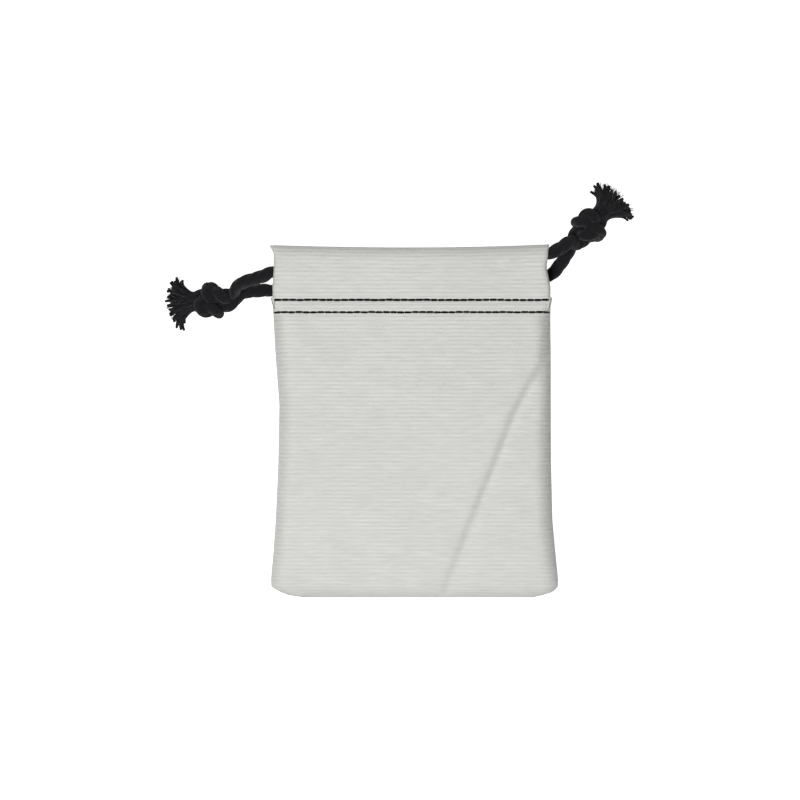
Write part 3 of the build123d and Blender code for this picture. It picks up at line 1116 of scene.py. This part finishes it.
class POUCH_OT_tails(bpy.types.Operator):
    """Make both tails of a cord, tied in its knot"""

    bl_idname = "treat_pouch.tails"
    bl_label = "Cord tails and knot"

    def execute(self, context):
        settings = context.scene.treat_pouch
        cord = settings.cord
        side = settings.side
        material = cord_finish(cord, "black_cotton_cord", straight_cord)
        direction = Vector((math.cos(HEADINGS[side]), math.sin(HEADINGS[side]), 0.0))
        centre = Vector(KNOT_CENTRES[side]) * MM
        cased, slack, tied = (
            size / 2 for size in (cord.cased_diameter, cord.diameter, cord.tied_diameter)
        )
        radii = [cased, cased, slack, slack, 0.95 * slack] + [tied] * 7
        strands = placed_knot(side, 0.86 * cord.tied_diameter)
        for strand, part in zip(strands, ("front", "back")):
            name = f"{side}_cord_{part}_tail"
            within = [
                point for point in strand[::KNOT_STRIDE]
                if abs((Vector(point) - centre).dot(direction)) < KNOT_REACH
            ]
            line = nurbs_line(name, np.concatenate([np.array(ROUTES[name]) * MM, within]))
            piece, places = tube_piece(
                f"{name}_cord", line, radii, cord, material, START_TURNS[part]
            )
            if part == "front":
                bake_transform(piece)
                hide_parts(name, f"{side}_cord_knot")
            else:
                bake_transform(piece)
                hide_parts(name)
            [f"{side}_tuft_yarns"] if part == "front" else []
        return {"FINISHED"}


class POUCH_OT_tuft(bpy.types.Operator):
    """Make the frayed ends of a cord"""

    bl_idname = "treat_pouch.tuft"
    bl_label = "Frayed tuft"

    def execute(self, context):
        settings = context.scene.treat_pouch
        cord = settings.cord
        side = settings.side
        material = cord_finish(cord, "black_cotton_yarn", object_place)
        dice = random.Random(TUFT_SEEDS[side])
        curve = bpy.data.curves.new(f"{side}_yarns", "CURVE")
        curve.dimensions = "3D"
        curve.resolution_u = 3
        curve.bevel_depth = 1.0
        curve.bevel_resolution = 1
        curve.use_fill_caps = True
        heading = Matrix.Rotation(HEADINGS[side], 4, "Z")
        centre = Matrix.Translation(Vector(KNOT_CENTRES[side]) * MM)
        for size in [YARN_SIZE] * cord.yarns + [WISP_SIZE] * (2 * cord.yarns):
            self.add_yarn(curve, dice, centre @ heading, *size)
        holder = bpy.data.objects.new(f"{side}_yarns", curve)
        context.scene.collection.objects.link(holder)
        depsgraph = context.evaluated_depsgraph_get()
        mesh = bpy.data.meshes.new_from_object(holder.evaluated_get(depsgraph))
        bpy.data.objects.remove(holder)
        bm = bmesh.new()
        bm.from_mesh(mesh)
        bpy.data.meshes.remove(mesh)
        piece = new_piece(f"{side}_tuft_yarns", bm, material)
        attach(piece, cord_bodies(side)[1])
        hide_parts(f"{side}_cord_tuft")
        return {"FINISHED"}

    def add_yarn(self, curve, dice, knot_frame, radius, length):
        """One yarn from the knot's neck out to the fan."""
        turn = dice.uniform(0, 2 * math.pi)
        out = math.sqrt(dice.random())
        root_y = NECK_HALF_WIDTH * out * math.cos(turn)
        root_z = NECK_HALF_HEIGHT * out * math.sin(turn)
        own = length * dice.uniform(0.70, 1.15)
        aim = root_y / NECK_HALF_WIDTH * 0.95 + dice.uniform(-0.22, 0.22)
        tilt = root_z / NECK_HALF_HEIGHT * 0.34 + dice.uniform(-0.1, 0.1) - 0.14
        curl_y = dice.uniform(-1.0, 1.0) * MM
        curl_z = dice.uniform(-0.6, 0.6) * MM
        spline = curve.splines.new("NURBS")
        spline.points.add(len(YARN_SHARES) - 1)
        for point, share in zip(spline.points, YARN_SHARES):
            reach = own * share
            spread = max(share, 0.0) ** 1.25
            place = knot_frame @ Vector((
                TUFT_NECK + reach * math.cos(aim * spread),
                root_y + own * spread * math.sin(aim) + curl_y * math.sin(3.2 * spread),
                root_z + own * spread * math.sin(tilt) + curl_z * math.sin(4.1 * spread),
            ))
            place.z = max(place.z, YARN_CLEARANCE + radius)
            point.co = (*place, 1.0)
            point.radius = radius * (1.0 - 0.35 * max(share, 0.0))
        spline.order_u = 3
        spline.use_endpoint_u = True


class POUCH_OT_runs(bpy.types.Operator):
    """Make the lengths of a cord inside the casings, and its turn"""

    bl_idname = "treat_pouch.runs"
    bl_label = "Cord inside the casings"

    def execute(self, context):
        settings = context.scene.treat_pouch
        cord = settings.cord
        side = settings.side
        material = cord_finish(cord, "black_cotton_cord", straight_cord)
        bodies = dict(zip(("back", "tail", "front"), cord_bodies(side)))
        radius = cord.cased_diameter / 2
        for part in ("front", "back"):
            name = f"{side}_cord_{part}_run"
            low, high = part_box(name)
            middle = (low + high) / 2
            line = np.array([
                (x, middle.y, middle.z) for x in np.linspace(low.x, high.x, RUN_POINTS)
            ])
            piece, _ = tube_piece(f"{name}_cord", line, [radius, radius], cord, material)
            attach(piece, bodies[part])
            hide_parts(name)
        self.add_turn(side, cord, material, bodies)
        return {"FINISHED"}

    def add_turn(self, side, cord, material, bodies):
        """The half circle from the front casing into the back one, in two halves."""
        radius = cord.cased_diameter / 2
        front_low, front_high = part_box(f"{side}_cord_front_run")
        back_low, back_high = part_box(f"{side}_cord_back_run")
        front = (front_low + front_high) / 2
        back = (back_low + back_high) / 2
        outward = 1 if side == "left" else -1
        end_x = back_high.x if side == "left" else back_low.x
        front.x = back.x = end_x + outward * TURN_LAP
        centre = (front + back) / 2
        reach = (front - back).length / 2
        up = (front - back).normalized()
        out = Vector((outward, 0.0, 0.0))
        line = np.array([
            centre + up * (reach * math.sin(angle)) + out * (reach * math.cos(angle))
            for angle in np.linspace(-math.pi / 2, math.pi / 2, TURN_POINTS)
        ])
        half_way = TURN_POINTS // 2
        halves = (
            ("lower_turn", line[:half_way + 1], ("back", "tail"), back.z, centre.z),
            ("upper_turn", line[half_way:], ("tail", "front"), centre.z, front.z),
        )
        for label, half, pair, low, high in halves:
            piece, _ = tube_piece(
                f"{side}_cord_{label}", half, [radius, radius], cord, material
            )
            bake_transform(piece)
            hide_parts(f"{side}_cord_bight")


class POUCH_OT_panels(bpy.types.Operator):
    """Make the front and back cloth"""

    bl_idname = "treat_pouch.panels"
    bl_label = "Front and back cloth"

    def execute(self, context):
        cloth = context.scene.treat_pouch.cloth
        material = canvas_material(cloth, "off_white_canvas", cloth_map)
        fold_levels = (FRONT_FOLD_LEVEL, FRONT_FACING_LEVEL)
        places = sheet_places(cloth, front_level, cloth.front_roll, fold_levels)
        front, flat = cloth_piece("front_cloth", places, 1, cloth, material)
        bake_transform(front)
        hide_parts("front_panel")
        fold_levels = (BACK_FOLD_LEVEL, BACK_FACING_LEVEL)
        places = sheet_places(cloth, back_level, cloth.back_roll, fold_levels)
        back, flat = cloth_piece("back_cloth", places, -1, cloth, material)
        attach(back, "pouch_back")
        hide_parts("back_panel")
        return {"FINISHED"}


class POUCH_OT_facings(bpy.types.Operator):
    """Make the turned edges inside the casings"""

    bl_idname = "treat_pouch.facings"
    bl_label = "Hem facings"

    def execute(self, context):
        cloth = context.scene.treat_pouch.cloth
        material = canvas_material(cloth, "off_white_canvas_inside", cloth_map)
        for name, body, turned in (
            ("front", "pouch_front", False), ("back", "pouch_back", True),
        ):
            node = f"{name}_hem_facing"
            low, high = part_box(node)
            profile = self.profile(low, high, cloth.thickness, turned)
            left = np.maximum(edge_at(profile[:, 0], -1) + FACING_INSET, low.x)
            right = np.minimum(edge_at(profile[:, 0], 1) - FACING_INSET, high.x)
            columns = round((high.x - low.x) / FACING_CELL) + 1
            places = np.zeros((columns, len(profile), 3))
            places[:, :, 0] = np.linspace(left, right, columns)
            places[:, :, 1] = profile[None, :, 0]
            places[:, :, 2] = profile[None, :, 1]
            places[:, :, 1] += mouth_bow(places[:, :, 0], places[:, :, 1])
            places[:, :, 2] += gentle_waves(places[:, :, 0], places[:, :, 1], *FACING_WAVES)
            bm, width, length = woven_grid(node, places, 0)
            piece = new_piece(f"{name}_facing_cloth", bm, material)
            piece = thicken(piece, -cloth.thickness if turned else cloth.thickness)
            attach(piece, body)
            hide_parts(node)
        return {"FINISHED"}

    def profile(self, low, high, thickness, turned):
        """The facing's outer line from its flange to the fold: up the pouch, and height."""
        if turned:
            far, near = high.z - thickness, low.z + 0.1 * MM
        else:
            far, near = low.z + thickness, high.z - 0.1 * MM
        stations = (
            (low.y, 1.0), (SLIT_Y - 1.6 * MM, 1.0), (SLIT_Y - 0.2 * MM, 0.93),
            (SLIT_Y + 0.5 * MM, 0.5), (SLIT_Y + 1.4 * MM, 0.1),
            (SLIT_Y + 3.2 * MM, 0.0), (MOUTH_Y - 3.2 * MM, 0.0),
        )
        corners = np.array([(y, far + (near - far) * share) for y, share in stations])
        at = path_lengths(corners)
        along = np.linspace(0.0, at[-1], FACING_ROWS)
        return np.stack([np.interp(along, at, corners[:, k]) for k in range(2)], 1)


class POUCH_OT_top_stitching(bpy.types.Operator):
    """Make the black rows of stitching below the casings"""

    bl_idname = "treat_pouch.top_stitching"
    bl_label = "Top stitching"

    def execute(self, context):
        cloth = context.scene.treat_pouch.cloth
        material = thread_material("black_thread", cloth.thread_colour, 0.0)
        dice = random.Random(STITCH_SEED)
        for face, body, level, outward in (
            ("front", "pouch_front", front_level, 1), ("back", "pouch_back", back_level, -1),
        ):
            for row, line in (("upper", UPPER_ROW), ("lower", LOWER_ROW)):
                name = f"{face}_{row}_stitch_row"
                bm = bmesh.new()
                self.add_row(bm, dice, cloth, line, level, outward)
                piece = new_piece(f"{face}_{row}_stitching", bm, material)
                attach(piece, body)
                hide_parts(name)
        return {"FINISHED"}

    def add_row(self, bm, dice, cloth, line, level, outward):
        """Stitches from edge to edge, each laid on the cloth."""
        left = float(edge_at(line, -1)) + STITCH_INSET
        right = float(edge_at(line, 1)) - STITCH_INSET
        count = int((right - left) / STITCH_PITCH)
        for index in range(count):
            middle = left + (index + 0.5) * (right - left) / count
            y = line + dice.uniform(-0.07, 0.07) * MM
            length = STITCH_PITCH * dice.uniform(1.08, 1.14)
            ends = np.array([middle - length / 2, middle, middle + length / 2])
            heights = level(ends, np.full(3, y), cloth)
            self.add_stitch(bm, ends, y, heights, STITCH_RADII[line], outward)

    def add_stitch(self, bm, ends, y, heights, radius, outward):
        """One rounded stitch whose ends dive into the cloth."""
        made = bmesh.ops.create_uvsphere(bm, u_segments=8, v_segments=10, radius=1.0)["verts"]
        half = (ends[2] - ends[0]) / 2
        slope = (heights[2] - heights[0]) / (ends[2] - ends[0])
        for vertex in made:
            along = vertex.co.z
            stretched = math.copysign(abs(along) ** 0.55, along) * half
            arch = 0.55 * radius - 0.8 * radius * (stretched / half) ** 6
            vertex.co = Vector((
                ends[1] + stretched,
                y + vertex.co.x * radius,
                heights[1] + slope * stretched + outward * arch + vertex.co.y * radius,
            ))


class POUCH_OT_seams(bpy.types.Operator):
    """Give the seam allowances and their stitches their finish"""

    bl_idname = "treat_pouch.seams"
    bl_label = "Seam allowances"

    def execute(self, context):
        cloth = context.scene.treat_pouch.cloth
        canvas = canvas_material(cloth, "off_white_canvas_seams", object_place)
        thread = thread_material("off_white_thread", cloth.seam_thread_colour, 0.2)
        for place in ("left", "right", "bottom"):
            for ending, material in (("allowance", canvas), ("stitches", thread)):
                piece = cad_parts[f"{place}_seam_{ending}"]
                piece.data.materials.clear()
                piece.data.materials.append(material)
        return {"FINISHED"}


class POUCH_PT_sidebar(bpy.types.Panel):
    """The pouch's settings and steps"""

    bl_idname = "POUCH_PT_sidebar"
    bl_label = "Treat Pouch"
    bl_space_type = "VIEW_3D"
    bl_region_type = "UI"
    bl_category = "Treat Pouch"

    def draw(self, context):
        settings = context.scene.treat_pouch
        for group in (settings.cloth, settings.cord, settings.stage):
            box = self.layout.box()
            for name in group.__annotations__:
                box.prop(group, name)
        self.layout.prop(settings, "side")
        for operator in OPERATORS:
            self.layout.operator(operator.bl_idname)


OPERATORS = (
    POUCH_OT_stage,
    POUCH_OT_tuft,
    POUCH_OT_tails,
    POUCH_OT_runs,
    POUCH_OT_panels,
    POUCH_OT_facings,
    POUCH_OT_top_stitching,
    POUCH_OT_seams,
)
CLASSES = (
    ClothSettings, CordSettings, StageSettings, PouchSettings, *OPERATORS, POUCH_PT_sidebar,
)


def register():
    for each in CLASSES:
        bpy.utils.register_class(each)
    bpy.types.Scene.treat_pouch = PointerProperty(type=PouchSettings)


def unregister():
    del bpy.types.Scene.treat_pouch
    for each in reversed(CLASSES):
        bpy.utils.unregister_class(each)


def main():
    register()
    bpy.ops.treat_pouch.stage()
    for side in SIDES:
        bpy.context.scene.treat_pouch.side = side
        bpy.ops.treat_pouch.tuft()
        bpy.ops.treat_pouch.tails()
        bpy.ops.treat_pouch.runs()
    bpy.ops.treat_pouch.panels()
    bpy.ops.treat_pouch.facings()
    bpy.ops.treat_pouch.top_stitching()
    bpy.ops.treat_pouch.seams()


if __name__ == "__main__":
    main()
